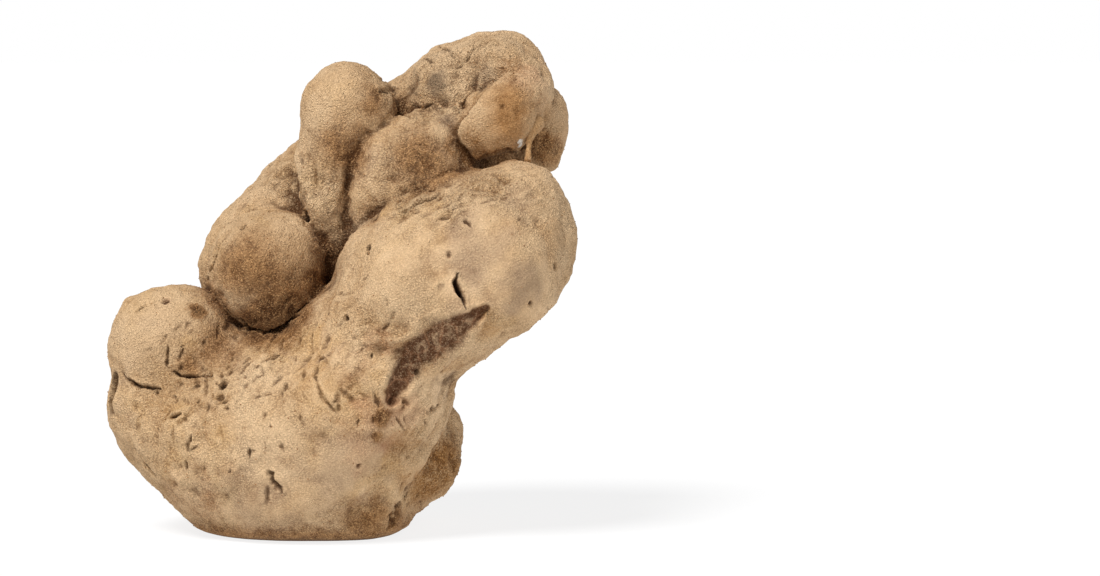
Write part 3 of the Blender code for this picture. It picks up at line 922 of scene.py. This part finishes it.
def make_grains(skin):
    """Tiny crumbs of soil half sunk in the skin, most of them in its sheltered parts."""
    draw = np.random.default_rng(SEED + 1)
    points = vertex_values(skin.data, "co") / MM
    normals = vertex_values(skin.data, "normal")
    soil_and_shade = np.empty(len(points), np.float32)
    skin.data.attributes["soil_and_shade"].data.foreach_get("value", soil_and_shade)
    lowest_skin, lowest_corner = GRAIN_LOWEST
    weights = (0.25 + soil_and_shade) * (points[:, 2] > lowest_skin)
    picks = draw.choice(len(points), GRAINS, p=weights / weights.sum(), replace=False)

    bm = bmesh.new()
    bmesh.ops.create_icosphere(bm, subdivisions=1, radius=1.0)
    crumb = np.array([v.co for v in bm.verts])
    faces = np.array([[v.index for v in f.verts] for f in bm.faces])
    bm.free()

    small, large = GRAIN_RADIUS
    radii = small + (large - small) * draw.random(GRAINS) ** 2.5
    shapes = crumb[None] * draw.uniform(*GRAIN_STRETCH, (GRAINS, 1, 3))
    shapes = shapes * draw.uniform(*GRAIN_UNEVEN, (GRAINS, GRAIN_CORNERS, 1))
    middles = points[picks] + normals[picks] * (radii * GRAIN_PROUD)[:, None]
    corners = middles[:, None] + shapes * radii[:, None, None]
    corners[:, :, 2] = np.maximum(corners[:, :, 2], lowest_corner)
    triangles = faces[None] + GRAIN_CORNERS * np.arange(GRAINS)[:, None, None]
    mesh = bpy.data.meshes.new("soil_grains")
    mesh.from_pydata((corners.reshape(-1, 3) * MM).tolist(), [], triangles.reshape(-1, 3).tolist())
    store(mesh, "tone", np.repeat(draw.random(GRAINS), GRAIN_CORNERS))
    mesh.shade_smooth()
    return linked("soil_grains", mesh)


# -------------------- materials

class Board:
    """The nodes of a material or of the world, made one call at a time."""

    def __init__(self, owner):
        owner.use_nodes = True
        self.nodes = owner.node_tree.nodes
        self.links = owner.node_tree.links
        self.colour = None

    def put(self, socket, value):
        if isinstance(value, bpy.types.NodeSocket):
            self.links.new(value, socket)
        else:
            socket.default_value = value

    def node(self, kind, inputs, **settings):
        made = self.nodes.new(kind)
        for name, value in settings.items():
            setattr(made, name, value)
        for name, value in inputs.items():
            self.put(made.inputs[name], value)
        return made

    def attribute(self, name, times=None):
        """A vertex attribute, times a number if one is given."""
        value = self.node("ShaderNodeAttribute", {}, attribute_name=name).outputs["Fac"]
        return value if times is None else self.times(value, times)

    def place(self, kind="Object"):
        return self.node("ShaderNodeTexCoord", {}).outputs[kind]

    def clouds(self, width, detail=2.0, rough=0.5, twist=0.0):
        """Noise with features about this wide, in mm."""
        inputs = {"Vector": self.place(), "Scale": 1 / (width * MM), "Detail": detail,
                  "Roughness": rough, "Distortion": twist}
        return self.node("ShaderNodeTexNoise", inputs).outputs["Fac"]

    def cells(self, width, feature="F1"):
        """Distance to the nearest crumb's middle, or to the edge between two, in cell widths."""
        inputs = {"Vector": self.place(), "Scale": 1 / (width * MM)}
        return self.node("ShaderNodeTexVoronoi", inputs, feature=feature).outputs["Distance"]

    def span(self, value, start, end, low=0.0, high=1.0):
        """low up to start and high from end on, with a smooth passage between them."""
        inputs = {"Value": value, "From Min": start, "From Max": end, "To Min": low, "To Max": high}
        made = self.node("ShaderNodeMapRange", inputs, interpolation_type="SMOOTHSTEP")
        return made.outputs["Result"]

    def times(self, a, b):
        return self.node("ShaderNodeMath", {0: a, 1: b}, operation="MULTIPLY").outputs[0]

    def plus(self, a, b):
        return self.node("ShaderNodeMath", {0: a, 1: b}, operation="ADD").outputs[0]

    def blend(self, share, a, b):
        made = self.nodes.new("ShaderNodeMix")
        made.data_type = "RGBA"
        self.put(made.inputs[0], share)
        self.put(made.inputs[6], a)
        self.put(made.inputs[7], b)
        return made.outputs[2]

    def paint(self, share, tint):
        """Lay a tint over the board's colour."""
        self.colour = self.blend(share, self.colour, tint)

    def bump(self, height, depth, strength, under=None):
        inputs = {"Height": height, "Distance": depth * MM, "Strength": strength}
        if under is not None:
            inputs["Normal"] = under
        return self.node("ShaderNodeBump", inputs).outputs["Normal"]


def shaded(board, inputs):
    """Set or link the shader's inputs."""
    for name, value in inputs.items():
        board.put(board.nodes["Principled BSDF"].inputs[name], value)


def rgb(red, green, blue):
    """A colour given as it looks on a screen, 0 to 255, as linear values."""
    screen = np.array([red, green, blue]) / 255
    return (*np.where(screen <= 0.04045, screen / 12.92, ((screen + 0.055) / 1.055) ** 2.4).tolist(), 1.0)


TAN = rgb(195, 157, 113)
SAND = rgb(228, 194, 152)
BROWN = rgb(152, 106, 60)
SOIL = rgb(120, 75, 33)
DARK_SOIL_AND_SHADE = rgb(58, 31, 9)
SOILED_CRUMB = rgb(204, 158, 108)
SHADE_AND_SPOT_COLOUR = rgb(44, 23, 9)
CREVICE_SHADE = rgb(76, 44, 18)
OCHRE = rgb(160, 110, 54)
LILAC = rgb(146, 117, 94)
PINK = rgb(184, 128, 94)
SCAR_FLESH = rgb(94, 56, 36)
SCAR_VEIN = rgb(158, 110, 78)
CREAM = rgb(232, 200, 160)
FLECK = rgb(236, 230, 220)
GOLD = rgb(206, 162, 104)
ASH = rgb(186, 154, 124)


# The dusty ground colour is tan under these clouds: their width in mm, detail, roughness and twist, the
# part of their noise over which they come in, how strong they get, and their colour.
CLOUDS = [
    (9.0, 4.0, 0.60, 0.0, 0.35, 0.68, 1.00, SAND),
    (14.0, 3.0, 0.60, 0.4, 0.50, 0.68, 0.55, GOLD),
    (7.0, 4.0, 0.65, 0.8, 0.54, 0.70, 0.45, ASH),
    (4.0, 5.0, 0.65, 0.6, 0.48, 0.75, 0.55, BROWN),
    (1.6, 6.0, 0.75, 0.0, 0.50, 0.72, 0.40, BROWN),
]
# Stains from the marks: name, strength, colour. The pale one is painted light where it is weak.
STAINS = [("lilac", 0.80, LILAC), ("reddish", 0.60, PINK), ("pale", 2.0, CREAM)]
OCHRE_STRENGTH = 0.62
SCAR_STRENGTH = 0.90
VEIN_STRENGTH = 0.75
SHADE_AND_SPOT_STRENGTH = 0.85
VEIN_CELLS = 2.6  # widths in mm
CRUMB_CELLS = 0.31
SPECK_WIDTH = 0.26
DUSTY_ROUGHNESS = 0.92
WORN_ROUGHNESS = 0.66


def skin_material():
    look = bpy.data.materials.new("truffle_skin")
    board = Board(look)
    soil_and_shade = board.attribute("soil_and_shade")
    worn = board.attribute("worn")
    cavity = board.attribute("cavity")
    valley = board.attribute("valley")

    board.colour = TAN
    for width, detail, rough, twist, start, end, strength, tint in CLOUDS:
        board.paint(board.span(board.clouds(width, detail, rough, twist), start, end, 0, strength), tint)
    # the weak pale patches are painted light on parts that face the lamps
    for name, strength, tint in STAINS:
        board.paint(board.attribute(name, strength), tint)
    board.paint(board.span(valley, -0.05, -0.45, 0, 0.25), SAND)

    # soil and painted shade gather in the sheltered parts and in the valleys
    ragged_soil_and_shade = board.plus(soil_and_shade, board.span(board.clouds(1.1, 6.0, 0.75), 0.25, 0.75, -0.12, 0.12))
    board.paint(board.span(ragged_soil_and_shade, 0.05, 1.10, 0, 0.80), SOIL)
    board.paint(board.span(ragged_soil_and_shade, 0.80, 1.60, 0, 0.65), DARK_SOIL_AND_SHADE)
    ragged_valley = board.plus(valley, board.span(board.clouds(1.0, 4.0), 0.3, 0.7, -0.12, 0.12))
    board.paint(board.span(ragged_valley, 0.20, 0.90, 0, 0.85), DARK_SOIL_AND_SHADE)
    board.paint(board.attribute("ochre", OCHRE_STRENGTH), OCHRE)

    # bare flesh of the scar, with its veins
    veins = board.span(board.cells(VEIN_CELLS, "DISTANCE_TO_EDGE"), 0.01, 0.10, VEIN_STRENGTH, 0.0)
    flesh = board.blend(veins, SCAR_FLESH, SCAR_VEIN)
    flesh = board.blend(board.span(board.clouds(0.8, 4.0), 0.45, 0.7, 0, 0.35), flesh, DARK_SOIL_AND_SHADE)
    board.paint(board.attribute("scar", SCAR_STRENGTH), flesh)

    # grain: pale crumbs with dark between them, weaker where the skin is worn, stronger where rugged
    grain = board.times(board.span(worn, 0.0, 1.0, 1.0, 0.55),
                        board.span(board.attribute("rugged"), 0.0, 1.0, 1.0, 1.35))
    crumbs = board.cells(CRUMB_CELLS)
    specks = board.clouds(SPECK_WIDTH, 2.0, 0.6)
    pale = board.times(board.span(specks, 0.50, 0.66, 0, 0.34), grain)
    pale = board.times(pale, board.span(soil_and_shade, 0.2, 1.0, 1.0, 1.5))
    crumb = board.blend(board.span(soil_and_shade, 0.2, 1.0), SAND, SOILED_CRUMB)
    board.paint(board.times(board.span(crumbs, 0.36, 0.60, 0, 0.36), grain), DARK_SOIL_AND_SHADE)
    board.paint(board.times(board.span(specks, 0.48, 0.32, 0, 0.26), grain), DARK_SOIL_AND_SHADE)
    board.paint(pale, crumb)

    # painted shade darkens the hollows, the floors of pits, slits and cracks and the edges under ledges,
    # beside a few real dark spots; ridges are paler; only the fleck at the flap's edge is pale enough to
    # be white
    board.paint(board.span(cavity, 0.02, 0.22, 0, 0.50), CREVICE_SHADE)
    board.paint(board.span(cavity, -0.02, -0.14, 0, 0.22), crumb)
    board.paint(board.attribute("shade_and_dark_spots", SHADE_AND_SPOT_STRENGTH), SHADE_AND_SPOT_COLOUR)
    board.paint(board.span(board.attribute("pale"), 0.5, 0.9), FLECK)

    lumps = board.bump(board.clouds(1.3, 4.0, 0.65), 0.30, 1.0)
    rounded = board.times(board.span(crumbs, 0.0, 0.65, 1.0, 0.0), grain)
    grainy = board.bump(rounded, 0.13, 1.0, lumps)
    velvet = board.bump(board.times(board.clouds(0.2, 1.0), grain), 0.13, 1.0, grainy)
    roughness = board.span(worn, 0.0, 1.0, DUSTY_ROUGHNESS, WORN_ROUGHNESS)
    shaded(board, {"Base Color": board.colour, "Roughness": roughness, "Normal": velvet,
                   "Specular IOR Level": 0.09, "Sheen Weight": 0.02, "Sheen Roughness": 0.6})
    return look


def grain_material():
    look = bpy.data.materials.new("soil_grains")
    board = Board(look)
    tone = board.attribute("tone")
    board.colour = SOIL
    board.paint(board.span(tone, 0.0, 0.5), BROWN)
    board.paint(board.span(tone, 0.6, 1.0), TAN)
    board.paint(board.span(board.clouds(0.2), 0.4, 0.7, 0, 0.35), BROWN)
    shaded(board, {"Base Color": board.colour, "Roughness": 0.9,
                   "Normal": board.bump(board.clouds(0.08, 2.0), 0.03, 0.5)})
    return look


def floor_material():
    look = bpy.data.materials.new("floor")
    shaded(Board(look), {"Base Color": FLOOR_TONE, "Roughness": 1.0, "Specular IOR Level": 0.0,
                         "Emission Color": SKY_WHITE, "Emission Strength": FLOOR_GLOW})
    return look


# -------------------- the studio

FLOOR_HALF = 40.0
FLOOR_TONE = (0.18, 0.18, 0.18, 1.0)
FLOOR_GLOW = 0.83  # light of its own, so that it reads as plain white, with faint shadows
SKY_WHITE = (1.0, 1.0, 1.0, 1.0)
SKY_DIM = (0.16, 0.16, 0.17, 1.0)
SKY_BAND = (0.04, 0.16)  # heights at which the white low sky begins and ends to dim

# name, direction it comes from, strength, how wide its source looks in degrees
LAMPS = [
    ("key", (-0.36, -0.44, 0.82), 3.40, 20),
    ("side", (0.74, -0.52, 0.36), 0.55, 50),
]


def make_floor():
    mesh = bpy.data.meshes.new("floor")
    bm = bmesh.new()
    bmesh.ops.create_grid(bm, x_segments=1, y_segments=1, size=FLOOR_HALF)
    bm.to_mesh(mesh)
    bm.free()
    mesh.materials.append(floor_material())
    floor = linked("floor", mesh)
    floor.location = (0, 0, LOW.z)


def make_lamps():
    for name, direction, strength, width in LAMPS:
        light = bpy.data.lights.new(name, "SUN")
        light.energy = strength
        light.angle = radians(width)
        lamp = linked(name, light)
        lamp.location = Vector(direction)
        lamp.rotation_euler = Vector(direction).to_track_quat("Z", "Y").to_euler()


def make_sky():
    """A white low sky that dims overhead, so that the lamp shapes the truffle."""
    world = bpy.data.worlds.new("studio")
    board = Board(world)
    height = board.node("ShaderNodeSeparateXYZ", {0: board.place("Generated")}).outputs["Z"]
    low, high = SKY_BAND
    dimming = board.node("ShaderNodeMapRange", {"Value": height, "From Min": low, "From Max": high})
    sky = board.blend(dimming.outputs["Result"], SKY_WHITE, SKY_DIM)
    board.put(board.nodes["Background"].inputs["Color"], sky)
    bpy.context.scene.world = world
    bpy.context.scene.view_settings.view_transform = "Standard"


def make_camera():
    data = bpy.data.cameras.new("camera")
    data.sensor_width = SENSOR_MM
    data.lens = SENSOR_MM * VIEW_DISTANCE / (PICTURE_WIDTH * SEEN_WIDTH)
    data.clip_start = NEAR_LIMIT
    camera = linked("camera", data)
    camera.location = EYE
    camera.rotation_euler = TOWARDS.to_track_quat("Z", "Y").to_euler()
    bpy.context.scene.camera = camera


# -------------------- all of it

def add_piece(piece, material):
    piece.data.materials.clear()
    piece.data.materials.append(material)
    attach(piece, BODY)
    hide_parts(NODE)


make_camera()
make_sky()
make_lamps()
make_floor()
skin = make_skin()
look = skin_material()
add_piece(skin, look)
add_piece(make_strand(tree_of(skin.data)), look)
add_piece(make_grains(skin), grain_material())
